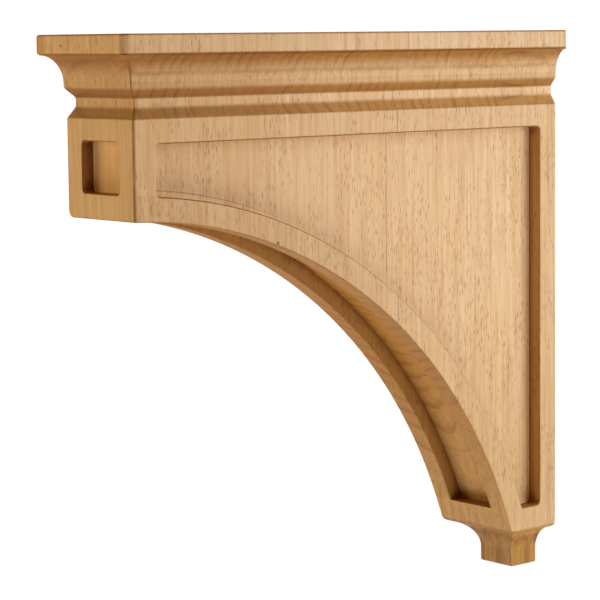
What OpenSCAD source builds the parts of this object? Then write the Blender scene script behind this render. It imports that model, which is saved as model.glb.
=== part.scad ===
// Wooden corbel bracket: one block of glued-up hardwood staves, cut to an arc,
// with a moulded head, sunk panels on the front and both sides, a sunk channel
// under the arc, and a coved foot.
// Millimetres. +Z is up, the front faces -Y, and the flat back is the wall face Y = 0.
// The origin is at the middle of the wall face, on the centre line and half way up.
// Every depth below is measured down from the top of the plate.

/* [Overall] */
// Projection from the wall to the front of the top plate
projection = 355.6; // [340:0.5:375]
// Height from the top of the plate to the bottom of the foot
height = 355.6; // [352:0.5:364]

/* [Head moulding] */
// Width of the top plate
plate_width = 87.4; // [84:0.1:92]
// Thickness of the top plate
plate_thick = 11.6; // [9:0.1:13]
// Rounding of the plate's long edges
plate_ease = 1.4; // [0.6:0.1:2.5]
// Depth below the top where the cove ends and the nosing begins
cove_end = 28.5; // [25:0.1:30]
// How far the cove swings out from the nosing, at the side
cove_swing = 11.2; // [9:0.1:11.6]
// Radius of the nosing under the cove
nose_radius = 4.5; // [3:0.1:6]
// Depth below the top where the neck band begins
neck_top = 36.2; // [35:0.1:38]
// Depth below the top where the neck band ends
neck_bottom = 41.4; // [40:0.1:43]
// Width across the neck band
neck_width = 57.2; // [54:0.1:60]
// Depth below the top where the chamfer under the neck meets the body
body_top = 46.4; // [45:0.1:50]
// Softening where that chamfer meets the body
body_ease = 2.2; // [0.8:0.1:3]

/* [Body] */
// Width of the body
body_width = 65.7; // [62:0.1:70]
// Distance from the wall to the front of the body
body_depth = 341.7; // [338:0.1:346]
// How far the neck band sits behind the body's front
neck_setback = 3.6; // [2:0.1:5]
// Depth below the top to the underside of the body, where the foot begins
body_bottom = 328.6; // [324:0.1:330]
// Radius of the arc under the bracket
arc_radius = 325; // [318:0.5:330]
// Depth below the top to the crown of the arc
arc_crown = 105.4; // [102:0.1:110]
// Distance from the wall to the centre line of the arc
arc_centre = 349.5; // [346:0.5:352]

/* [Sunk panels] */
// Plain margin left around each panel
margin = 14.5; // [12:0.1:17]
// Depth of the panel on each side
side_sink = 10.4; // [5:0.1:13]
// Depth of the panel on the front
front_sink = 8.4; // [4:0.1:12]
// Depth of the channel under the arc, measured along the arc's radius
channel_sink = 10.4; // [5:0.1:12]
// Width of the channel under the arc
channel_width = 37.6; // [30:0.1:42]
// Height of the front panel
front_panel_height = 30; // [26:0.1:34]
// Depth below the top to the head of the panels
panel_top = 61.6; // [58:0.1:66]
// Radius left in the corners of the panels
corner_radius = 3.2; // [1.5:0.1:5]

/* [Foot] */
// Radius of the cove above the foot, on the front and both sides
foot_cove = 17.4; // [14:0.1:19]
// Softening of the foot's bottom edge
foot_ease = 1.2; // [0.5:0.1:2]

/* [Hidden] */
wood = [0.80, 0.62, 0.40];
steps = 12;                       // facets in each small moulded curve
far = 60;                         // how far the cutters run past the wood
plate_half = plate_width / 2;
neck_half = neck_width / 2;
body_half = body_width / 2;
neck_depth = body_depth - neck_setback;
// the plate stands this much further from the neck at the side and at the front
side_out = plate_half - neck_half;
front_out = projection - neck_depth;
body_out = body_half - neck_half;
nose_out = side_out - cove_swing + 0.6;
// the body's underside keeps a narrow flat before the cove above the foot
foot_flat = 0.6;

// distance from the wall to the arc, at a depth below the top
function arc_y(depth) =
    arc_centre - sqrt(pow(arc_radius, 2) - pow(arc_centre_depth() - depth, 2));
function arc_centre_depth() = arc_crown + arc_radius;

// Half of the head moulding's outline, from the top face down to the body, as
// [share of the plate's overhang from the neck, depth]. The side view and the
// front view use it with their own overhangs, so the mitred corners meet.
function head_outline(out, body_step) =
    let (
        k = out / side_out,
        rn = nose_radius,
        slope = 42
    )
    concat(
        [for (i = [0:4]) let (a = i * 90 / 4)
            [out - plate_ease * (1 - sin(a)), plate_ease * (1 - cos(a))]],
        [for (i = [0:4]) let (a = i * 90 / 4)
            [out - plate_ease * (1 - cos(a)), plate_thick - plate_ease * (1 - sin(a))]],
        [for (i = [steps:-1:0]) let (a = i * 86 / steps)
            [k * (nose_out + (side_out - nose_out) * (1 - cos(a))),
             cove_end - (cove_end - plate_thick) * sin(a) / sin(86)]],
        [for (i = [1:5]) let (a = i * slope / 5)
            [k * (nose_out - rn * (1 - cos(a))), cove_end + 0.5 + rn * sin(a)]],
        [[0, neck_top], [0, neck_bottom]],
        [for (i = [0:4]) let (a = 45 * (1 - i / 4))
            [body_step - body_ease * (1 - cos(a)), body_top + body_ease * (1 - sin(a))]]
    );

// The foot's outline, from the body's underside down, as [distance from the
// body's edge, depth]: a quarter cove, a straight band and an eased bottom edge.
function foot_outline() =
    concat(
        [[0, body_bottom]],
        [for (i = [0:steps]) let (a = i * 90 / steps)
            [foot_flat + foot_cove * sin(a),
             body_bottom + foot_cove * (1 - cos(a))]],
        [for (i = [0:3]) let (a = i * 90 / 3)
            [foot_flat + foot_cove + foot_ease * (1 - cos(a)),
             height - foot_ease * (1 - sin(a))]]
    );

// the whole width, seen from the front
module front_view() {
    right = concat(
        [for (p = head_outline(side_out, body_out)) [neck_half + p[0], -p[1]]],
        [for (p = foot_outline()) [body_half - p[0], -p[1]]]);
    n = len(right);
    left = [for (i = [n - 1:-1:0]) [-right[i][0], right[i][1]]];
    translate([0, 1, 0]) rotate([90, 0, 0])
        linear_extrude(height = projection + 2)
            polygon(concat(right, left));
}

// the whole depth, seen from the side
module side_view() {
    front = concat(
        [for (p = head_outline(front_out, neck_setback)) [-neck_depth - p[0], -p[1]]],
        [[-body_depth, -body_bottom]],
        [for (p = foot_outline()) [p[0] - arc_y(body_bottom), -p[1]]]);
    rotate([90, 0, 90]) translate([0, 0, -plate_width])
        linear_extrude(height = 2 * plate_width)
            polygon(concat([[0, 0]], front, [[0, -height]]));
}

// a cylinder lying along X
module bar_x(y, z, r, length, fn) {
    translate([-length / 2, y, z]) rotate([0, 90, 0])
        cylinder(r = r, h = length, $fn = fn);
}

module arc_cut() {
    bar_x(-arc_centre, -arc_centre_depth(), arc_radius, body_width + 2 * far, 240);
}

// a block with its four corners rounded, standing on the XY plane
module rounded_block(x, y, h, r) {
    translate([r, 0, 0]) cube([x - 2 * r, y, h]);
    translate([0, r, 0]) cube([x, y - 2 * r, h]);
    for (i = [r, x - r], j = [r, y - r])
        translate([i, j, 0]) cylinder(r = r, h = h, $fn = 32);
}

module front_panel() {
    w = body_width - 2 * margin;
    translate([-w / 2, -body_depth + front_sink,
               -panel_top - front_panel_height + 0.9])
        rotate([90, 0, 0])
            rounded_block(w, front_panel_height, far, corner_radius);
}

// sunk into the +X side; it follows the arc at the same margin
module side_panel() {
    back = margin;
    front = body_depth - margin - 0.6;
    low = body_bottom - margin - 2.5;
    difference() {
        translate([body_half - side_sink, -front, -low])
            rotate([90, 0, 90])
                rounded_block(front - back, low - panel_top, far, corner_radius);
        bar_x(-arc_centre, -arc_centre_depth(), arc_radius + margin,
              4 * plate_width, 240);
    }
}

// sunk into the arc, between two rims and a plain margin at each end
module channel() {
    intersection() {
        bar_x(-arc_centre, -arc_centre_depth(), arc_radius + channel_sink,
              channel_width, 240);
        translate([-channel_width / 2, -body_depth + margin, -body_bottom + margin + 2.6])
            cube([channel_width, body_depth, body_bottom]);
    }
}

module corbel() {
    color(wood)
    translate([0, 0, height / 2])
        difference() {
            intersection() {
                front_view();
                side_view();
            }
            arc_cut();
            front_panel();
            side_panel();
            mirror([1, 0, 0]) side_panel();
            channel();
        }
}

corbel();
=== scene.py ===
import math

import bpy
import bmesh
import numpy as np
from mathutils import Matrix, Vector


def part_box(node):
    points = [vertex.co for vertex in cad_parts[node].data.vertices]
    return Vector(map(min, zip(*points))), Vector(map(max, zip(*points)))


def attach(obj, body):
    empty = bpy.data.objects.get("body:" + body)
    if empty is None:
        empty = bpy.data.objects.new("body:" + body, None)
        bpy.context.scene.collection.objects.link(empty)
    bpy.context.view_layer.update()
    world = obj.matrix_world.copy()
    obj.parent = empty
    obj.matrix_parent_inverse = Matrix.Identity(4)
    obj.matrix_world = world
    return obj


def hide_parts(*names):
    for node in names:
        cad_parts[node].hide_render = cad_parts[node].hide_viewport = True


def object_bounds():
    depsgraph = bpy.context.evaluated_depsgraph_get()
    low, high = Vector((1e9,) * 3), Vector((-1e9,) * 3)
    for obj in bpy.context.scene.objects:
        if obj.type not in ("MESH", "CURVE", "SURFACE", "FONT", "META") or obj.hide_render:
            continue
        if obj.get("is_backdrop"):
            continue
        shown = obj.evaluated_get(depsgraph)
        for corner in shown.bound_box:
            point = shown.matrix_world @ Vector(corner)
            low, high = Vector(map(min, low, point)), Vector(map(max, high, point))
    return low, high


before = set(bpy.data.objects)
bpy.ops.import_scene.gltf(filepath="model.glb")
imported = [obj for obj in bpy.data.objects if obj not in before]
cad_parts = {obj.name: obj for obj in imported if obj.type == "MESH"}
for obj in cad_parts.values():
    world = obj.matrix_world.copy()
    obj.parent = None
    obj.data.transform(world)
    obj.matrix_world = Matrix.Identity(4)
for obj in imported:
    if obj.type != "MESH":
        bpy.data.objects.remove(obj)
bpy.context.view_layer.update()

lo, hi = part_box("corbel")
MM = 0.001

# ---------------------------------------------------------------- sizes, mm
width = (hi.x - lo.x) / MM
projection = (hi.y - lo.y) / MM
height = (hi.z - lo.z) / MM
plate_half = width / 2
plate_thick = 11.6
plate_ease = 1.4
cove_end = 28.5
cove_swing = 11.2
nose_radius = 4.5
neck_top = 36.2
neck_bottom = 41.4
neck_half = 28.6
body_top = 46.4
body_ease = 2.2
body_half = 32.85
body_depth = 341.7
neck_setback = 3.6
body_bottom = 328.6
arc_radius = 325.0
arc_crown = 105.4
arc_y0 = 349.5
arc_z0 = arc_crown + arc_radius
margin = 14.5
side_sink = 10.2
front_sink = 8.3
channel_sink = 10.2
channel_half = 18.8
panel_top = 61.6
front_panel_height = 30.0
corner_radius = 3.2
foot_cove = 17.4
foot_ease = 1.4
bottom_round = 3.6

neck_depth = body_depth - neck_setback
side_out = plate_half - neck_half
front_out = projection - neck_depth
body_out = body_half - neck_half
nose_out = side_out - cove_swing + 0.6
top_z = hi.z / MM


def rad(a):
    return math.radians(a)


def arc_at(depth, radius=arc_radius):
    """How far from the wall the arch stands at a depth below the top."""
    return arc_y0 - math.sqrt(radius ** 2 - (arc_z0 - depth) ** 2)


# ------------------------------------------------------------ the profiles
def soften(points, at, share):
    """Replaces the point at an index by a short curve towards its neighbours."""
    a, p, b = points[at - 1], points[at], points[at + 1]
    q = tuple(p[i] + (a[i] - p[i]) * share[0] for i in (0, 1))
    r = tuple(p[i] + (b[i] - p[i]) * share[1] for i in (0, 1))
    mid = []
    for t in (0, 0.33, 0.67, 1):
        mid.append(tuple((1 - t) ** 2 * q[i] + 2 * t * (1 - t) * p[i] + t * t * r[i] for i in (0, 1)))
    return points[:at] + mid + points[at + 1:]


def head(out, step):
    """(outward, depth) from the top of the plate to the top of the body."""
    k = out / side_out
    n, steps = 6, 22
    p = [(out - plate_ease * (1 - math.sin(rad(i * 90 / n))), plate_ease * (1 - math.cos(rad(i * 90 / n)))) for i in range(n + 1)]
    p += [(out - plate_ease * (1 - math.cos(rad(i * 90 / n))), plate_thick - plate_ease * (1 - math.sin(rad(i * 90 / n)))) for i in range(n + 1)]
    for i in range(steps, -1, -1):
        a = rad(i * 86 / steps)
        p.append((k * (nose_out + (side_out - nose_out) * (1 - math.cos(a))), cove_end - (cove_end - plate_thick) * math.sin(a) / math.sin(rad(86))))
    for i in range(0, 9):
        a = rad(i * 42 / 8)
        p.append((k * (nose_out - nose_radius * (1 - math.cos(a))), cove_end + 0.5 + nose_radius * math.sin(a)))
    at = len(p)
    p += [(0.0, neck_top), (0.0, neck_bottom)]
    b = []
    for i in range(n + 1):
        a = rad(45 * (1 - i / n))
        b.append((step - body_ease * (1 - math.cos(a)), body_top + body_ease * (1 - math.sin(a))))
    p += b
    p = soften(p, at + 1, (0.25, 0.22))
    p = soften(p, at, (0.25, 0.25))
    out_p = [p[0]]
    for q in p[1:]:
        if math.hypot(q[0] - out_p[-1][0], q[1] - out_p[-1][1]) > 0.04:
            out_p.append(q)
    return out_p


def foot():
    """(inward, depth) from the rounded lower edge of the body to the sole."""
    n = 6
    p = [(bottom_round * (1 - math.cos(rad(i * 90 / n))), body_bottom - bottom_round * (1 - math.sin(rad(i * 90 / n)))) for i in range(n + 1)]
    start = math.degrees(math.asin((bottom_round + 0.9 - 0.6) / foot_cove))
    steps = 16
    for i in range(steps + 1):
        a = rad(start + (90 - start) * i / steps)
        p.append((0.6 + foot_cove * math.sin(a), body_bottom + foot_cove * (1 - math.cos(a))))
    for i in range(n + 1):
        a = rad(i * 90 / n)
        p.append((0.6 + foot_cove + foot_ease * (1 - math.cos(a)), height - foot_ease * (1 - math.sin(a))))
    out_p = [p[0]]
    for q in p[1:]:
        if math.hypot(q[0] - out_p[-1][0], q[1] - out_p[-1][1]) > 0.04:
            out_p.append(q)
    return out_p


def arc_points(d0, d1, radius=arc_radius, turn=0.9):
    """(y, depth) along the arch from one depth to another."""
    a0 = math.acos((arc_z0 - d0) / radius)
    a1 = math.acos((arc_z0 - d1) / radius)
    n = max(2, int(abs(math.degrees(a1 - a0)) / turn))
    return [(-(arc_y0 - radius * math.sin(a0 + (a1 - a0) * i / n)), arc_z0 - radius * math.cos(a0 + (a1 - a0) * i / n)) for i in range(n + 1)]


def prism(name, outline, axis, low, high):
    """A closed block with a flat outline. axis X: outline is (y, z); axis Y: outline is (x, z). All in mm."""
    bm = bmesh.new()
    rings = []
    for s in (low, high):
        if axis == "X":
            rings.append([bm.verts.new((s, a, b)) for a, b in outline])
        else:
            rings.append([bm.verts.new((a, s, b)) for a, b in outline])
    n = len(outline)
    for i in range(n):
        bm.faces.new((rings[0][i], rings[0][(i + 1) % n], rings[1][(i + 1) % n], rings[1][i]))
    bm.faces.new(rings[0])
    bm.faces.new(rings[1])
    bmesh.ops.recalc_face_normals(bm, faces=bm.faces)
    me = bpy.data.meshes.new(name)
    bm.to_mesh(me)
    bm.free()
    o = bpy.data.objects.new(name, me)
    bpy.context.scene.collection.objects.link(o)
    return o


def boolean(target, tool, how):
    m = target.modifiers.new("cut", "BOOLEAN")
    m.operation = how
    m.solver = "EXACT"
    m.object = tool
    bpy.context.view_layer.update()
    dg = bpy.context.evaluated_depsgraph_get()
    me = bpy.data.meshes.new_from_object(target.evaluated_get(dg))
    target.modifiers.clear()
    old = target.data
    target.data = me
    bpy.data.meshes.remove(old)
    old = tool.data
    bpy.data.objects.remove(tool)
    bpy.data.meshes.remove(old)


def z(depth):
    return top_z - depth


def rounded(points, radii, steps=6):
    """Rounds the marked corners of a closed outline."""
    out = []
    n = len(points)
    for i, (p, r) in enumerate(zip(points, radii)):
        if not r:
            out.append(p)
            continue
        a, b = points[i - 1], points[(i + 1) % n]
        da = (a[0] - p[0], a[1] - p[1])
        db = (b[0] - p[0], b[1] - p[1])
        la, lb = math.hypot(*da), math.hypot(*db)
        da, db = (da[0] / la, da[1] / la), (db[0] / lb, db[1] / lb)
        half = math.acos(max(-1, min(1, da[0] * db[0] + da[1] * db[1]))) / 2
        t = min(r / math.tan(half), la * 0.95, lb * 0.95)
        rr = t * math.tan(half)
        mid = (da[0] + db[0], da[1] + db[1])
        lm = math.hypot(*mid)
        c = (p[0] + mid[0] / lm * rr / math.sin(half), p[1] + mid[1] / lm * rr / math.sin(half))
        s = (p[0] + da[0] * t - c[0], p[1] + da[1] * t - c[1])
        e = (p[0] + db[0] * t - c[0], p[1] + db[1] * t - c[1])
        a0, a1 = math.atan2(s[1], s[0]), math.atan2(e[1], e[0])
        while a1 - a0 > math.pi:
            a1 -= 2 * math.pi
        while a1 - a0 < -math.pi:
            a1 += 2 * math.pi
        for k in range(steps + 1):
            g = a0 + (a1 - a0) * k / steps
            out.append((c[0] + rr * math.cos(g), c[1] + rr * math.sin(g)))
    return out


# -------------------------------------------------------- the outer shape
# seen from the front: x against z
right = [(neck_half + p, z(d)) for p, d in head(side_out, body_out)]
right += [(body_half - p, z(d)) for p, d in foot()]
front_outline = right + [(-x, zz) for x, zz in reversed(right)]
# seen from the side: y against z
reach = arc_at(body_bottom)
line = [(-neck_depth - p, z(d)) for p, d in head(front_out, neck_setback)]
crown = arc_z0 - math.sqrt(arc_radius ** 2 - (arc_y0 - body_depth) ** 2)
line.append((-body_depth, z(crown)))
fp = foot()
line += [(y, z(d)) for y, d in arc_points(crown, fp[0][1])[1:-1]]
lean0 = arc_at(fp[0][1])
for i, (p, d) in enumerate(fp):
    y = -(reach - p)
    if d < body_bottom:
        y -= (lean0 - reach) * (body_bottom - d) / bottom_round
    line.append((y, z(d)))
line += [(0.0, z(height)), (0.0, z(0))]
body = prism("corbel_wood", line, "X", -70, 70)
tool = prism("front", front_outline, "Y", -400, 30)
boolean(body, tool, "INTERSECT")

# the lower left corner of the front is worn round, running out along the arch
n = 8
rings = []
for y, radius in ((-346.0, 4.9), (-341.7, 4.6), (-334.0, 3.0), (-322.0, 1.2), (-304.0, 0.02)):
    corner = (-body_half, z(arc_z0 - math.sqrt(arc_radius ** 2 - (arc_y0 + max(y, -body_depth)) ** 2)))
    sweep = [(corner[0] - 6, corner[1] + radius), (corner[0] - 6, corner[1] - 6), (corner[0] + radius, corner[1] - 6)]
    for i in range(n + 1):
        g = rad(270 - 90 * i / n)
        sweep.append((corner[0] + radius + radius * math.cos(g), corner[1] + radius + radius * math.sin(g)))
    rings.append([(x, y, zz) for x, zz in sweep])
m = len(rings[0])
faces = [tuple(range(m)), tuple((len(rings) - 1) * m + i for i in reversed(range(m)))]
for r in range(len(rings) - 1):
    for i in range(m):
        j = (i + 1) % m
        faces.append((r * m + j, r * m + i, (r + 1) * m + i, (r + 1) * m + j))
me = bpy.data.meshes.new("worn")
me.from_pydata([v for ring in rings for v in ring], [], faces)
bm = bmesh.new()
bm.from_mesh(me)
bmesh.ops.triangulate(bm, faces=bm.faces)
bmesh.ops.recalc_face_normals(bm, faces=bm.faces)
bm.to_mesh(me)
bm.free()
worn = bpy.data.objects.new("worn", me)
bpy.context.scene.collection.objects.link(worn)
boolean(body, worn, "DIFFERENCE")

# the plate's back corners are rounded a little, like the front ones
turned = 3.4
for side in (1, -1):
    flat = [(plate_half - turned, 3.0)]
    flat += [(plate_half - turned + turned * math.sin(rad(i * 15)), -turned + turned * math.cos(rad(i * 15))) for i in range(7)]
    flat += [(plate_half + 3, -turned), (plate_half + 3, 3.0)]
    flat = [(side * x, y) for x, y in flat]
    if side > 0:
        flat.reverse()
    m = len(flat)
    verts = [(x, y, -210.0) for x, y in flat] + [(x, y, 210.0) for x, y in flat]
    faces = [tuple(reversed(range(m))), tuple(range(m, 2 * m))] + [(i, (i + 1) % m, m + (i + 1) % m, m + i) for i in range(m)]
    me = bpy.data.meshes.new("back_corner")
    me.from_pydata(verts, [], faces)
    bm = bmesh.new()
    bm.from_mesh(me)
    bmesh.ops.recalc_face_normals(bm, faces=bm.faces)
    bm.to_mesh(me)
    bm.free()
    o = bpy.data.objects.new("back_corner", me)
    bpy.context.scene.collection.objects.link(o)
    boolean(body, o, "DIFFERENCE")

# the sunk panel on each side
r = arc_radius + margin
back, front = -margin, -(body_depth - margin - 0.6)
low = body_bottom - margin - 2.5
edge = [(front, arc_z0 - math.sqrt(r ** 2 - (arc_y0 + front) ** 2))]
arc = [q for q in arc_points(edge[0][1] + 0.001, low, r, 1.2)]
arc = [q for q in arc if q[0] > front + 6]
corner_low = (-(arc_y0 - math.sqrt(r ** 2 - (arc_z0 - low) ** 2)), low)
arc = [q for q in arc if q[1] < low - 5]
pts = [(front, panel_top + 0.4), (back, panel_top + 0.4), (back, low), corner_low] + arc[::-1] + [edge[0]]
rr = [corner_radius, corner_radius, corner_radius, 1.4] + [0] * len(arc) + [corner_radius - 0.2]
panel = [(a, z(b)) for a, b in rounded(pts, rr)]
for side in (1, -1):
    a, b = sorted((side * (body_half - side_sink), side * 60))
    boolean(body, prism("panel", panel, "X", a, b), "DIFFERENCE")

# the sunk panel on the front
w = body_half - margin
t0 = panel_top - 0.9
pts = [(-w, z(t0)), (w, z(t0)), (w, z(t0 + front_panel_height)), (-w, z(t0 + front_panel_height))]
boolean(body, prism("panel", rounded(pts, [corner_radius] * 4), "Y", -400, -(body_depth - front_sink)), "DIFFERENCE")

# the channel under the arch
rc = arc_radius + channel_sink
y_front, low_c = -(body_depth - margin), body_bottom - margin - 2.6
top_c = arc_z0 - math.sqrt(rc ** 2 - (arc_y0 + y_front) ** 2)
inner = [(y, d) for y, d in arc_points(top_c + 0.001, low_c, rc)]
inner = [q for q in inner if q[0] > y_front + 2 and q[1] < low_c - 2]
floor_low = (-(arc_y0 - math.sqrt(rc ** 2 - (arc_z0 - low_c) ** 2)), low_c)
pts = [(y_front, top_c)] + inner + [floor_low, (-200.0, low_c), (y_front, low_c - 60)]
boolean(body, prism("channel", [(a, z(b)) for a, b in pts], "X", -channel_half, channel_half), "DIFFERENCE")


# ------------------------------------------------------------ eased edges
bm = bmesh.new()
bm.from_mesh(body.data)
bmesh.ops.remove_doubles(bm, verts=bm.verts, dist=0.004)
bmesh.ops.dissolve_degenerate(bm, edges=bm.edges, dist=0.004)
bmesh.ops.dissolve_limit(bm, angle_limit=rad(0.3), verts=bm.verts, edges=bm.edges)
bmesh.ops.recalc_face_normals(bm, faces=bm.faces)
weight = bm.edges.layers.float.get("bevel_weight_edge") or bm.edges.layers.float.new("bevel_weight_edge")
WIDEST = 4.0
kinds = {}
for e in bm.edges:
    if len(e.link_faces) != 2:
        continue
    angle = math.degrees(e.calc_face_angle(0))
    if angle < 24:
        continue
    a, b = e.verts[0].co, e.verts[1].co
    c = (a + b) / 2
    d = top_z - c.z
    hollow = e.calc_face_angle_signed(0) < 0
    x, y = abs(c.x), -c.y
    size = 0.0
    if y < 0.01 and abs(a.y) < 0.01 and abs(b.y) < 0.01:
        size = 0.7 if (abs(a.z - b.z) > 0.01 or x > 0.01) and d > 0.5 else 0.5
        kind = "back"
    elif hollow:
        kind = "hollow"
    elif y < turned + 0.3 and x > plate_half - turned - 0.3:
        kind = "back"
        size = 0.5
    elif x > neck_half - 0.5 or d > body_bottom - 4:
        kind = "corner"
        if d < plate_thick:
            size = 3.6
        elif d < 34:
            size = 3.6 + (1.0 - 3.6) * min(1, (d - plate_thick) / 12)
        elif d < body_top:
            size = 0.9
        elif y > body_depth - 1 and c.x < 0 and d > crown - 4.7:
            size = 1.9 - 1.1 * math.atan2(d - (crown - 4.6), max(0.01, x - (body_half - 4.6))) / rad(90)
        elif y > body_depth - 1 and d < crown:
            size = 1.9
        elif d > body_bottom - 3:
            size = 1.0
        else:
            size = 0.9
    else:
        kind = "rim"
        size = 0.8
    kinds[kind] = kinds.get(kind, 0) + 1
    e[weight] = size / WIDEST
print("edges", kinds, "verts", len(bm.verts), "open", sum(1 for e in bm.edges if len(e.link_faces) != 2))
bm.to_mesh(body.data)
bm.free()
m = body.modifiers.new("ease", "BEVEL")
m.limit_method = "WEIGHT"
m.offset_type = "OFFSET"
m.width = WIDEST
m.segments = 4
m.profile = 0.5
m.use_clamp_overlap = False
m.loop_slide = True
m.miter_outer = "MITER_SHARP"
bpy.context.view_layer.update()
me = bpy.data.meshes.new_from_object(body.evaluated_get(bpy.context.evaluated_depsgraph_get()))
body.modifiers.clear()
body.data = me
bm = bmesh.new()
bm.from_mesh(me)
bmesh.ops.remove_doubles(bm, verts=bm.verts, dist=0.002)
bmesh.ops.scale(bm, vec=(MM, MM, MM), verts=bm.verts)
print("after ease: verts", len(bm.verts), "faces", len(bm.faces), "open", sum(1 for e in bm.edges if len(e.link_faces) != 2))
for v in bm.verts:
    v.co.x = min(max(v.co.x, lo.x), hi.x)
    v.co.y = min(max(v.co.y, lo.y), hi.y)
    v.co.z = min(max(v.co.z, lo.z), hi.z)
for f in bm.faces:
    f.smooth = True
for e in bm.edges:
    e.smooth = e.calc_face_angle(0) < rad(38)
bm.to_mesh(me)
bm.free()
m = body.modifiers.new("normals", "WEIGHTED_NORMAL")
m.mode = "FACE_AREA"
m.weight = 50
m.keep_sharp = True
body.data.name = "corbel_wood"


# -------------------------------------------------------------- materials
class Tree:
    """Short names for adding nodes."""

    def __init__(self, tree):
        self.t = tree
        self.n = tree.nodes
        self.n.clear()

    def put(self, socket, value):
        if value is None:
            return
        if isinstance(value, bpy.types.NodeSocket):
            self.t.links.new(value, socket)
        else:
            socket.default_value = value

    def math(self, op, a, b=None, c=None, clamp=False):
        n = self.n.new("ShaderNodeMath")
        n.operation = op
        n.use_clamp = clamp
        for s, v in zip(n.inputs, (a, b, c)):
            self.put(s, v)
        return n.outputs[0]

    def vec(self, op, a, b=None):
        n = self.n.new("ShaderNodeVectorMath")
        n.operation = op
        self.put(n.inputs[0], a)
        if op == "SCALE":
            self.put(n.inputs["Scale"], b)
        else:
            self.put(n.inputs[1], b)
        return n.outputs["Value"] if op in ("LENGTH", "DISTANCE", "DOT_PRODUCT") else n.outputs[0]

    def xyz(self, x, y, z):
        n = self.n.new("ShaderNodeCombineXYZ")
        for s, v in zip(n.inputs, (x, y, z)):
            self.put(s, v)
        return n.outputs[0]

    def parts(self, v):
        n = self.n.new("ShaderNodeSeparateXYZ")
        self.put(n.inputs[0], v)
        return n.outputs

    def noise(self, v, scale=1.0, detail=2.0, rough=0.5, distortion=0.0):
        n = self.n.new("ShaderNodeTexNoise")
        self.put(n.inputs["Vector"], v)
        n.inputs["Scale"].default_value = scale
        n.inputs["Detail"].default_value = detail
        n.inputs["Roughness"].default_value = rough
        n.inputs["Distortion"].default_value = distortion
        return n.outputs[0]

    def noise_colour(self, v, scale=1.0, detail=2.0, rough=0.5):
        n = self.n.new("ShaderNodeTexNoise")
        self.put(n.inputs["Vector"], v)
        n.inputs["Scale"].default_value = scale
        n.inputs["Detail"].default_value = detail
        n.inputs["Roughness"].default_value = rough
        return n.outputs["Color"]

    def cells(self, v, scale=1.0, randomness=1.0):
        n = self.n.new("ShaderNodeTexVoronoi")
        n.feature = "F1"
        self.put(n.inputs["Vector"], v)
        n.inputs["Scale"].default_value = scale
        n.inputs["Randomness"].default_value = randomness
        return n.outputs["Distance"], n.outputs["Color"]

    def white(self, value):
        n = self.n.new("ShaderNodeTexWhiteNoise")
        n.noise_dimensions = "1D"
        self.put(n.inputs["W"], value)
        return n.outputs["Value"], n.outputs["Color"]

    def ramp(self, value, stops, mode="LINEAR"):
        n = self.n.new("ShaderNodeValToRGB")
        n.color_ramp.interpolation = mode
        self.put(n.inputs[0], value)
        els = n.color_ramp.elements
        while len(els) > 1:
            els.remove(els[-1])
        els[0].position, els[0].color = stops[0][0], (*stops[0][1], 1)
        for p, c in stops[1:]:
            e = els.new(p)
            e.color = (*c, 1)
        return n.outputs[0]

    def step(self, value, a, b, c=0.0, d=1.0):
        """Smoothly maps a..b onto c..d and holds the ends."""
        n = self.n.new("ShaderNodeMapRange")
        n.interpolation_type = "SMOOTHSTEP"
        for s, v in zip(n.inputs, (value, a, b, c, d)):
            self.put(s, v)
        return n.outputs[0]

    def mix(self, f, a, b, how="MIX"):
        n = self.n.new("ShaderNodeMix")
        n.data_type = "RGBA"
        n.blend_type = how
        n.clamp_factor = True
        self.put(n.inputs[0], f)
        self.put(n.inputs[6], a)
        self.put(n.inputs[7], b)
        return n.outputs[2]


def srgb(r, g, b):
    return tuple(((c / 255) / 12.92 if c <= 10 else (((c / 255) + 0.055) / 1.055) ** 2.4) for c in (r, g, b))


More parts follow.
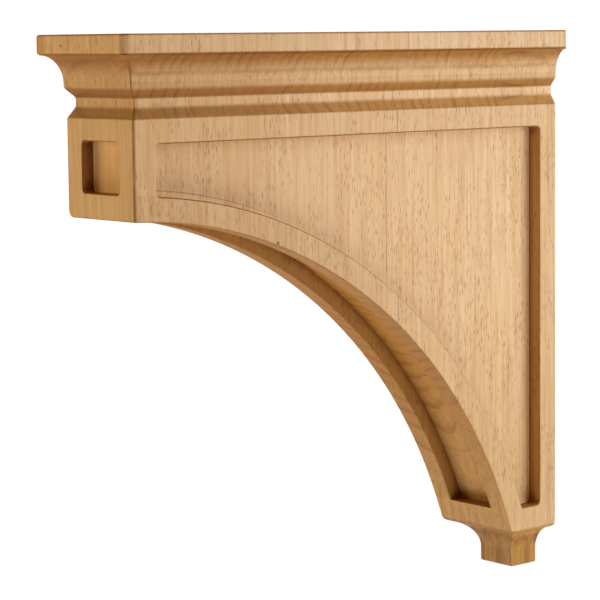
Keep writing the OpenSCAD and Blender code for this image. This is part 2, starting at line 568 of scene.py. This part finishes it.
def wood():
    mat = bpy.data.materials.new("pale_hardwood")
    mat.use_nodes = True
    t = Tree(mat.node_tree)
    co = t.n.new("ShaderNodeTexCoord")
    p = t.vec("SCALE", co.outputs["Object"], 1000.0)
    x, y, zz = t.parts(p)
    nx, ny, nz = t.parts(co.outputs["Normal"])

    # the block is glued up from upright staves, side by side along Y
    sway = t.noise(t.xyz(t.math("MULTIPLY", x, 0.01), 0.0, t.math("MULTIPLY", zz, 0.012)), 1.0, 1.0)
    yw = t.math("ADD", y, t.math("MULTIPLY", t.math("SUBTRACT", sway, 0.5), 1.6))
    joints = (-302.0, -231.0, -182.5, -141.7, -98.0, -52.0)
    stave = None
    glue = None
    for i, at in enumerate(joints):
        s = t.math("GREATER_THAN", yw, at)
        stave = s if stave is None else t.math("ADD", stave, s)
        dist = t.math("ABSOLUTE", t.math("SUBTRACT", yw, at))
        line = t.step(dist, 0.12, 0.55, (0.10, 0.30, 0.22, 0.95, 0.20, 0.12)[i], 0.0)
        glue = line if glue is None else t.math("MAXIMUM", glue, line)
    # the head is widened by a strip on each side
    for at in (-33.9, 33.9):
        s = t.math("GREATER_THAN", x, at)
        stave = t.math("ADD", stave, t.math("MULTIPLY", s, 7.0))
        dist = t.math("ABSOLUTE", t.math("SUBTRACT", x, at))
        glue = t.math("MAXIMUM", glue, t.step(dist, 0.1, 0.5, 0.5, 0.0))
    v1, c1 = t.white(t.math("ADD", stave, 3.7))
    r1, r2, r3 = t.parts(c1)
    broken = t.noise(t.xyz(t.math("MULTIPLY", x, 0.05), t.math("MULTIPLY", y, 0.05), t.math("MULTIPLY", zz, 0.06)), 1.0, 2.0)
    glue = t.math("MULTIPLY", glue, t.step(broken, 0.3, 0.6, 0.35, 1.0))

    # each stave has its own place in the log
    shift = t.vec("SCALE", c1, 400.0)
    q = t.vec("ADD", p, shift)
    qx, qy, qz = t.parts(q)
    wob = t.noise_colour(t.xyz(t.math("MULTIPLY", qx, 0.02), t.math("MULTIPLY", qy, 0.02), t.math("MULTIPLY", qz, 0.006)), 1.0, 1.0)
    w1, w2, w3 = t.parts(wob)
    cx = t.math("ADD", t.math("MULTIPLY", t.math("SUBTRACT", r1, 0.5), 90.0), t.math("MULTIPLY", zz, 0.05))
    cy = t.math("ADD", t.math("MULTIPLY", t.math("SUBTRACT", r2, 0.5), 60.0), t.math("MULTIPLY", stave, 0.0))
    dx = t.math("ADD", t.math("SUBTRACT", x, cx), t.math("MULTIPLY", t.math("SUBTRACT", w1, 0.5), 22.0))
    dy = t.math("ADD", t.math("SUBTRACT", t.math("ADD", y, t.math("MULTIPLY", r3, 300.0)), cy), t.math("MULTIPLY", t.math("SUBTRACT", w2, 0.5), 22.0))
    rho = t.math("SQRT", t.math("ADD", t.math("MULTIPLY", dx, dx), t.math("MULTIPLY", dy, dy)))
    ring = t.math("FRACT", t.math("DIVIDE", rho, 7.4))
    uneven = t.noise(t.xyz(t.math("MULTIPLY", qx, 0.03), t.math("MULTIPLY", qy, 0.03), t.math("MULTIPLY", qz, 0.03)), 1.0, 2.0)
    late = t.math("MULTIPLY", t.step(ring, 0.45, 0.93, 0.0, 1.0), t.step(ring, 0.95, 1.0, 1.0, 0.0))
    late = t.math("MULTIPLY", late, t.step(uneven, 0.38, 0.62, 0.12, 1.0))

    # fibres: fine and middling streaks that run up the stave
    slant = t.math("MULTIPLY", qz, t.math("MULTIPLY", t.math("SUBTRACT", r2, 0.5), 0.03))
    gx = t.math("ADD", qx, slant)
    gy = t.math("ADD", qy, slant)
    fine = t.noise(t.xyz(t.math("MULTIPLY", gx, 0.85), t.math("MULTIPLY", gy, 0.85), t.math("MULTIPLY", qz, 0.022)), 1.0, 4.0, 0.68)
    mid = t.noise(t.xyz(t.math("MULTIPLY", gx, 0.30), t.math("MULTIPLY", gy, 0.30), t.math("MULTIPLY", qz, 0.010)), 1.0, 3.0, 0.55)
    broad = t.noise(t.xyz(t.math("MULTIPLY", gx, 0.05), t.math("MULTIPLY", gy, 0.05), t.math("MULTIPLY", qz, 0.006)), 1.0, 2.0)
    pink = t.noise(t.xyz(t.math("MULTIPLY", gx, 0.55), t.math("MULTIPLY", gy, 0.55), t.math("MULTIPLY", qz, 0.012)), 1.0, 2.0)

    # vessels: short dark flecks along the grain, dots on end grain
    vx, vy, vz = t.math("MULTIPLY", gx, 1.05), t.math("MULTIPLY", gy, 1.05), t.math("MULTIPLY", qz, 0.15)
    d1, cc1 = t.cells(t.xyz(vx, vy, vz))
    a1, a2, a3 = t.parts(cc1)
    crowd = t.noise(t.xyz(t.math("MULTIPLY", qx, 0.035), t.math("MULTIPLY", qy, 0.035), t.math("MULTIPLY", qz, 0.02)), 1.0, 2.0)
    density = t.step(crowd, 0.35, 0.66, 0.26, 0.95)
    some = t.math("LESS_THAN", a1, density)
    fleck = t.math("MULTIPLY", t.step(d1, 0.13, 0.41, 1.0, 0.0), t.math("MULTIPLY", some, t.math("ADD", 0.25, t.math("MULTIPLY", a2, 0.75))))
    d2, cc2 = t.cells(t.xyz(t.math("MULTIPLY", gx, 0.62), t.math("MULTIPLY", gy, 0.62), t.math("MULTIPLY", qz, 0.055)))
    b1, b2, b3 = t.parts(cc2)
    long_fleck = t.math("MULTIPLY", t.step(d2, 0.08, 0.26, 1.0, 0.0), t.step(b1, 0.35, 0.9, 0.0, 0.55))
    fleck = t.math("MAXIMUM", fleck, long_fleck)

    # faces turned up or down are darker: the end grain's own tone, and painted shade on undersides and slopes
    up = t.math("ABSOLUTE", nz)
    end_grain_and_shade = t.step(up, 0.05, 0.72, 0.0, 1.0)

    depth = t.math("SUBTRACT", 177.8, zz)
    ax = t.math("ABSOLUTE", x)
    flat_side = t.step(t.math("ABSOLUTE", nx), 0.75, 0.9)
    flat_front = t.step(t.math("MULTIPLY", ny, -1.0), 0.75, 0.9)
    plate = t.math("LESS_THAN", depth, 11.4)
    front_body = t.math("MULTIPLY", flat_front, t.math("COMPARE", depth, 76.0, 31.0))
    fleck = t.math("MULTIPLY", fleck, t.math("SUBTRACT", 1.0, t.math("MULTIPLY", front_body, 0.8)))
    end_grain_and_shade = t.math("MULTIPLY", end_grain_and_shade, t.math("SUBTRACT", 1.0, t.math("MULTIPLY", t.math("LESS_THAN", depth, 0.25), 0.5)))

    # long-grain colour
    light, tan, brown = srgb(236, 205, 165), srgb(220, 180, 132), srgb(180, 130, 82)
    base = t.ramp(mid, [(0.28, tan), (0.5, srgb(230, 196, 153)), (0.72, light)])
    base = t.mix(t.step(broad, 0.35, 0.7, 0.0, 0.35), base, (*srgb(222, 180, 130), 1))
    base = t.mix(t.math("MULTIPLY", t.step(pink, 0.52, 0.75), 0.30), base, (*srgb(208, 152, 112), 1))
    base = t.mix(t.math("MULTIPLY", t.step(fine, 0.44, 0.72), 0.44), base, (*brown, 1))
    base = t.mix(t.math("MULTIPLY", late, t.math("ADD", 0.12, t.math("MULTIPLY", end_grain_and_shade, 0.45))), base, (*srgb(160, 100, 50), 1))
    # painted shade: the block is darker towards its front end, away from the light at the wall end
    base = t.mix(t.step(y, -110.0, -345.0, 0.0, 1.0), base, t.mix(1.0, base, (0.86, 0.79, 0.68, 1), "MULTIPLY"))
    base = t.mix(t.math("MULTIPLY", t.math("SUBTRACT", v1, 0.0), 0.22), base, (*srgb(219, 174, 124), 1))
    # end-grain colour, also painted shade on faces turned up or down
    end_grain_and_shade_colour = t.mix(1.0, base, (0.535, 0.36, 0.098, 1), "MULTIPLY")
    base = t.mix(end_grain_and_shade, base, end_grain_and_shade_colour)
    base = t.mix(t.math("MULTIPLY", fleck, t.math("SUBTRACT", 0.86, t.math("MULTIPLY", end_grain_and_shade, 0.35))), base, (*srgb(150, 88, 46), 1))
    base = t.mix(t.math("MULTIPLY", glue, 0.55), base, (*srgb(120, 74, 36), 1))
    # painted shade in the hollows: darker where the ambient occlusion is low
    ao = t.n.new("ShaderNodeAmbientOcclusion")
    ao.samples = 8
    ao.inputs["Distance"].default_value = 0.009
    hollow = t.step(ao.outputs["AO"], 0.35, 0.88, 0.95, 0.0)
    sunk = t.math("MULTIPLY", t.step(t.math("ABSOLUTE", nx), 0.8, 0.95), t.step(t.math("ABSOLUTE", x), 20.0, 21.0))
    sunk_front = t.math("MULTIPLY", t.step(t.math("ABSOLUTE", ny), 0.8, 0.95), t.math("COMPARE", y, -333.4, 0.5))
    sunk = t.math("MAXIMUM", sunk, sunk_front)
    hollow = t.math("MULTIPLY", hollow, t.math("SUBTRACT", 1.0, t.math("MULTIPLY", sunk, 1.0)))
    hollow = t.math("MULTIPLY", hollow, t.math("SUBTRACT", 1.0, t.math("MULTIPLY", t.math("MULTIPLY", t.math("LESS_THAN", ax, 18.75), t.math("GREATER_THAN", depth, 150.0)), 0.7)))
    # painted light: the sunk panel floors are lighter near their edges, cancelling the shade the pocket walls cast
    # there
    painted_light_near_edge = t.math("MULTIPLY", t.step(ao.outputs["AO"], 0.55, 0.98, 1.0, 0.0), sunk)
    base = t.mix(painted_light_near_edge, base, t.mix(1.0, base, (1.22, 1.22, 1.22, 1), "MULTIPLY"))
    # grime along the eased front corners
    below = t.math("LESS_THAN", zz, 177.8 - 47.5)
    mark = t.math("MULTIPLY", t.math("MULTIPLY", t.step(t.math("ABSOLUTE", t.math("SUBTRACT", ax, 31.7)), 0.3, 1.0, 1.0, 0.0), t.math("LESS_THAN", y, -339.9)), below)
    mitre = t.math("SUBTRACT", t.math("DIVIDE", t.math("SUBTRACT", ax, 28.6), 15.1), t.math("DIVIDE", t.math("SUBTRACT", t.math("MULTIPLY", y, -1.0), 338.1), 17.5))
    mitre = t.math("MULTIPLY", t.step(t.math("ABSOLUTE", mitre), 0.015, 0.08, 0.6, 0.0), t.math("MULTIPLY", t.step(depth, 14.0, 20.0), t.math("LESS_THAN", depth, 36.0)))
    mark = t.math("MAXIMUM", mark, mitre)
    mark2 = t.math("MULTIPLY", t.math("MULTIPLY", t.step(t.math("ABSOLUTE", t.math("SUBTRACT", t.math("ABSOLUTE", x), 40.3)), 0.15, 0.7, 0.7, 0.0), flat_front), plate)
    mark = t.math("MULTIPLY", t.math("MAXIMUM", mark, mark2), t.step(broken, 0.3, 0.55, 0.45, 1.0))
    base = t.mix(t.math("MULTIPLY", mark, 0.62), base, (*srgb(104, 62, 26), 1))
    # a fine dark line round the upper and lower edges of the side panels: painted shade and dirt along the rims
    ry, rz = t.math("ADD", y, 349.5), t.math("ADD", zz, 252.6)
    turn = t.math("SQRT", t.math("ADD", t.math("MULTIPLY", ry, ry), t.math("MULTIPLY", rz, rz)))
    outer = t.math("MULTIPLY", t.math("GREATER_THAN", ax, 31.6), t.math("COMPARE", y, -171.0, 152.0))
    upper = t.step(t.math("ABSOLUTE", t.math("SUBTRACT", depth, 61.7)), 0.1, 0.7, 0.6, 0.0)
    lower = t.math("MULTIPLY", t.step(t.math("ABSOLUTE", t.math("SUBTRACT", turn, 339.3)), 0.1, 0.7, 0.7, 0.0), t.step(y, -275.0, -150.0, 1.0, 0.25))
    base = t.mix(t.math("MULTIPLY", outer, t.math("MAXIMUM", upper, lower)), base, (*srgb(128, 80, 38), 1))
    # a dark line on the panel floor, just above its curved edge, fading towards the back
    cut = t.math("MULTIPLY", t.step(t.math("ABSOLUTE", t.math("SUBTRACT", turn, 342.9)), 0.1, 0.55, 1.0, 0.0), flat_side)
    cut = t.math("MULTIPLY", cut, t.math("COMPARE", ax, 22.5, 1.6))
    cut = t.math("MULTIPLY", cut, t.step(y, -300.0, -205.0, 0.55, 0.06))
    base = t.mix(cut, base, (*srgb(120, 74, 40), 1))
    # the top of the cove under the plate is painted darker, painted shade of the plate, with a painted shadow line
    # just under the plate
    painted_cove_shade = t.math("MULTIPLY", t.step(depth, 34.0, 12.0, 0.25, 0.42), t.math("COMPARE", depth, 22.1, 10.9))
    line = t.math("MULTIPLY", t.step(depth, 13.6, 11.6, 0.0, 0.6), t.math("GREATER_THAN", depth, 11.0))
    base = t.mix(t.math("MAXIMUM", painted_cove_shade, line), base, t.mix(1.0, base, (0.72, 0.60, 0.44, 1), "MULTIPLY"))
    # the turn under the nose is painted darker towards the neck, painted shade; the neck itself is left as it is
    painted_shade_under_nose = t.math("MULTIPLY", t.step(depth, 30.5, 35.6, 0.0, 0.62), t.math("LESS_THAN", depth, 36.2))
    base = t.mix(painted_shade_under_nose, base, t.mix(1.0, base, (0.66, 0.55, 0.42, 1), "MULTIPLY"))
    # painted light and shade: the chamfer is lighter towards the wall end, the sides of the head darker towards the
    # front end
    painted_light_on_chamfer = t.math("MULTIPLY", t.math("COMPARE", depth, 44.0, 3.2), t.math("GREATER_THAN", t.math("ABSOLUTE", nx), 0.35))
    painted_light_on_chamfer = t.math("MULTIPLY", painted_light_on_chamfer, t.step(y, -300.0, -140.0))
    painted_shade_front_head = t.math("MULTIPLY", t.math("MULTIPLY", t.step(y, -190.0, -300.0), t.step(t.math("ABSOLUTE", nx), 0.15, 0.4)), t.math("COMPARE", depth, 29.0, 17.4))
    base = t.mix(painted_shade_front_head, base, t.mix(1.0, base, (0.93, 0.90, 0.82, 1), "MULTIPLY"))
    base = t.mix(t.math("MULTIPLY", painted_light_on_chamfer, end_grain_and_shade), base, t.mix(1.0, base, (1.16, 1.15, 1.05, 1), "MULTIPLY"))
    # the underside of the arch is painted darker, painted shade where it faces down, and so is the lower end of the
    # block, painted shade below the light
    painted_shade_under_arch = t.math("MULTIPLY", t.step(nz, -0.12, -0.35), t.math("GREATER_THAN", depth, 60.0))
    rim = t.math("LESS_THAN", turn, 328.0)
    base = t.mix(painted_shade_under_arch, base, t.mix(1.0, base, t.mix(rim, (0.95, 0.93, 0.80, 1), (0.82, 0.79, 0.64, 1)), "MULTIPLY"))
    base = t.mix(t.step(zz, 30.0, -140.0, 0.0, 1.0), base, t.mix(1.0, base, (0.91, 0.88, 0.80, 1), "MULTIPLY"))
    # the end of the plate's front is a darker strip
    strip = t.math("MULTIPLY", t.math("MULTIPLY", plate, flat_front), t.math("LESS_THAN", x, -33.9))
    base = t.mix(strip, base, t.mix(1.0, base, (0.84, 0.75, 0.66, 1), "MULTIPLY"))
    # the walls of the sunk panels and the channel are painted darker, painted shade inside the recesses; the outer
    # frame a little browner
    painted_shade_walls = t.math("MULTIPLY", t.step(t.math("ABSOLUTE", nx), 0.7, 0.9), t.math("LESS_THAN", ax, 19.6))
    back_wall = t.math("MULTIPLY", t.step(t.math("ABSOLUTE", ny), 0.7, 0.9), t.math("MULTIPLY", t.math("COMPARE", y, -14.5, 0.8), t.math("COMPARE", ax, 27.4, 5.1)))
    painted_shade_walls = t.math("MAXIMUM", painted_shade_walls, back_wall)
    base = t.mix(painted_shade_walls, base, t.mix(1.0, base, (0.66, 0.52, 0.27, 1), "MULTIPLY"))
    under_panel = t.math("MULTIPLY", t.math("MULTIPLY", flat_side, t.math("GREATER_THAN", ax, 32.0)), t.math("MULTIPLY", t.math("LESS_THAN", turn, 340.2), t.step(y, -110.0, -180.0)))
    base = t.mix(under_panel, base, t.mix(1.0, base, (0.91, 0.90, 0.88, 1), "MULTIPLY"))
    base = t.mix(t.math("MULTIPLY", flat_side, plate), base, t.mix(1.0, base, (0.93, 0.94, 0.97, 1), "MULTIPLY"))
    # more painted shade on the walls of the front pocket
    painted_shade_front_pocket = t.math("MULTIPLY", painted_shade_walls, t.math("LESS_THAN", y, -330.0))
    base = t.mix(painted_shade_front_pocket, base, t.mix(1.0, base, (0.80, 0.74, 0.74, 1), "MULTIPLY"))
    frame_face = t.math("MULTIPLY", flat_side, t.math("COMPARE", ax, 32.85, 0.3))
    base = t.mix(frame_face, base, t.mix(1.0, base, (0.93, 0.91, 0.89, 1), "MULTIPLY"))
    base = t.mix(sunk_front, base, t.mix(1.0, base, (1.15, 1.11, 1.04, 1), "MULTIPLY"))
    # the foot is darker: partly darker stock, partly painted shade under the body's overhang
    sole = t.step(depth, 325.8, 330.8, 0.0, 1.0)
    tone = t.mix(t.step(t.math("ABSOLUTE", nx), 0.3, 0.6), (0.60, 0.50, 0.37, 1), (1.0, 0.95, 0.72, 1))
    base = t.mix(sole, base, t.mix(1.0, base, tone, "MULTIPLY"))
    base = t.mix(t.math("MULTIPLY", sole, end_grain_and_shade), base, t.mix(1.0, base, (1.22, 1.45, 1.5, 1), "MULTIPLY"))
    bands = t.noise(t.xyz(t.math("MULTIPLY", gx, 0.42), t.math("MULTIPLY", gy, 0.42), t.math("MULTIPLY", qz, 0.02)), 1.0, 2.0)
    base = t.mix(t.math("MULTIPLY", sole, t.step(bands, 0.46, 0.66, 0.0, 0.6)), base, t.mix(1.0, base, (0.50, 0.40, 0.30, 1), "MULTIPLY"))
    # pin knots
    for kx, ky, kz, size in ((-16.4, -355.6, 171.3, 0.9), (32.85, -237.8, 54.4, 1.3), (43.7, -337.6, 164.7, 1.0)):
        dist = t.vec("DISTANCE", p, (kx, ky, kz))
        base = t.mix(t.step(dist, size * 0.35, size, 0.85, 0.0), base, (*srgb(70, 40, 20), 1))
    # the painted shade in the hollows goes on last
    base = t.mix(hollow, base, (0.36, 0.23, 0.11, 1), "MULTIPLY")
    bsdf = t.n.new("ShaderNodeBsdfPrincipled")
    t.put(bsdf.inputs["Base Color"], base)
    rough = t.math("ADD", 0.50, t.math("MULTIPLY", fine, 0.14))
    rough = t.math("ADD", rough, t.math("MULTIPLY", end_grain_and_shade, 0.10))
    rough = t.math("ADD", rough, t.math("MULTIPLY", fleck, 0.2), clamp=True)
    t.put(bsdf.inputs["Roughness"], rough)
    bsdf.inputs["Specular IOR Level"].default_value = 0.32
    tooth = t.noise(t.xyz(t.math("MULTIPLY", qx, 1.3), t.math("MULTIPLY", qy, 1.3), t.math("MULTIPLY", qz, 0.3)), 1.0, 3.0)
    relief = t.math("ADD", t.math("MULTIPLY", fine, 0.5), t.math("MULTIPLY", tooth, 0.35))
    relief = t.math("SUBTRACT", relief, t.math("MULTIPLY", fleck, 0.9))
    relief = t.math("SUBTRACT", relief, t.math("MULTIPLY", glue, 0.8))
    bump = t.n.new("ShaderNodeBump")
    bump.inputs["Strength"].default_value = 0.55
    bump.inputs["Distance"].default_value = 0.00016
    t.put(bump.inputs["Height"], relief)
    t.put(bsdf.inputs["Normal"], bump.outputs[0])
    out = t.n.new("ShaderNodeOutputMaterial")
    t.put(out.inputs["Surface"], bsdf.outputs[0])
    return mat


def floor_material():
    mat = bpy.data.materials.new("studio_floor")
    mat.use_nodes = True
    t = Tree(mat.node_tree)
    co = t.n.new("ShaderNodeTexCoord")
    a = t.noise(co.outputs["Object"], 3.0, 3.0)
    colour = t.ramp(a, [(0.3, (0.88, 0.875, 0.865)), (0.7, (0.93, 0.925, 0.92))])
    bsdf = t.n.new("ShaderNodeBsdfPrincipled")
    t.put(bsdf.inputs["Base Color"], colour)
    bsdf.inputs["Roughness"].default_value = 0.85
    bsdf.inputs["Specular IOR Level"].default_value = 0.1
    out = t.n.new("ShaderNodeOutputMaterial")
    t.put(out.inputs["Surface"], bsdf.outputs[0])
    return mat


body.data.materials.clear()
body.data.materials.append(wood())
for f in body.data.polygons:
    f.material_index = 0
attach(body, "root")
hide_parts("corbel")

# ------------------------------------------------------------------ stage
centre = (lo + hi) / 2
ground = lo.z - 0.75
me = bpy.data.meshes.new("floor")
s = 1.7
me.from_pydata([(-s, -s, 0), (s, -s, 0), (s, s, 0), (-s, s, 0)], [], [(0, 1, 2, 3)])
floor = bpy.data.objects.new("floor", me)
floor.location = (centre.x, centre.y, ground)
bpy.context.scene.collection.objects.link(floor)
me.materials.append(floor_material())
floor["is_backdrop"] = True

world = bpy.data.worlds.new("studio")
bpy.context.scene.world = world
world.use_nodes = True
t = Tree(world.node_tree)
path = t.n.new("ShaderNodeLightPath")
soft = t.n.new("ShaderNodeBackground")
soft.inputs["Color"].default_value = (1.0, 0.72, 0.34, 1)
soft.inputs["Strength"].default_value = 0.22
clear = t.n.new("ShaderNodeBackground")
clear.inputs["Color"].default_value = (1, 1, 1, 1)
clear.inputs["Strength"].default_value = 1.05
mixed = t.n.new("ShaderNodeMixShader")
t.put(mixed.inputs[0], path.outputs["Is Camera Ray"])
t.put(mixed.inputs[1], soft.outputs[0])
t.put(mixed.inputs[2], clear.outputs[0])
out = t.n.new("ShaderNodeOutputWorld")
t.put(out.inputs["Surface"], mixed.outputs[0])


def area(name, at, aim, size, power, colour=(1, 1, 1)):
    li = bpy.data.lights.new(name, "AREA")
    li.shape = "RECTANGLE"
    li.size, li.size_y = size
    li.energy = power
    li.color = colour
    o = bpy.data.objects.new(name, li)
    o.location = Vector(at) + centre
    d = Vector(aim) + centre - o.location
    o.rotation_euler = d.to_track_quat("-Z", "Y").to_euler()
    bpy.context.scene.collection.objects.link(o)
    return o


area("key", (1.25, 0.80, 0.46), (0, 0.05, 0.10), (0.8, 1.4), 18, (0.90, 0.95, 1.0))
area("fill", (-1.5, -1.75, 0.35), (0, 0, 0), (1.2, 1.6), 20, (1.0, 0.82, 0.46))
area("top", (0.0, -0.2, 2.2), (0, 0, 0), (2.0, 2.0), 16, (1.0, 0.95, 0.88))
sun = bpy.data.lights.new("overhead", "SUN")
sun.energy = 3.3
sun.color = (0.90, 0.94, 1.0)
sun.angle = math.radians(70)
o = bpy.data.objects.new("overhead", sun)
o.location = (0, 0, 3)
bpy.context.scene.collection.objects.link(o)
lit = bpy.data.collections.new("lit_from_overhead")
lit.objects.link(floor)
o.light_linking.receiver_collection = lit

# ----------------------------------------------------------------- camera
cam_data = bpy.data.cameras.new("camera")
cam = bpy.data.objects.new("camera", cam_data)
bpy.context.scene.collection.objects.link(cam)
CAM = dict(x=1.0619807, y=-1.0995486, z=0.1736560, yaw=0.8643, pitch=0.1058, roll=-0.0108, f=2286.0, shift=-0.03)
cam.location = (CAM["x"], CAM["y"], CAM["z"])
fw = Vector((-math.sin(CAM["yaw"]) * math.cos(CAM["pitch"]), math.cos(CAM["yaw"]) * math.cos(CAM["pitch"]), -math.sin(CAM["pitch"])))
rt = Vector((math.cos(CAM["yaw"]), math.sin(CAM["yaw"]), 0))
up = rt.cross(fw)
rt, up = math.cos(CAM["roll"]) * rt + math.sin(CAM["roll"]) * up, math.cos(CAM["roll"]) * up - math.sin(CAM["roll"]) * rt
from mathutils import Matrix
cam.rotation_euler = Matrix((rt, up, -fw)).transposed().to_euler()
cam_data.sensor_width = 36
cam_data.lens = CAM["f"] / 600 * 36
cam_data.shift_y = CAM["shift"]
cam_data.clip_start = 0.05
cam_data.clip_end = 60
cam_data.dof.use_dof = False
bpy.context.scene.camera = cam
bpy.context.scene.view_settings.view_transform = "Standard"
bpy.context.scene.view_settings.look = "None"
bpy.context.scene.view_settings.exposure = 0
bpy.context.scene.view_settings.gamma = 1

a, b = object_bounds()
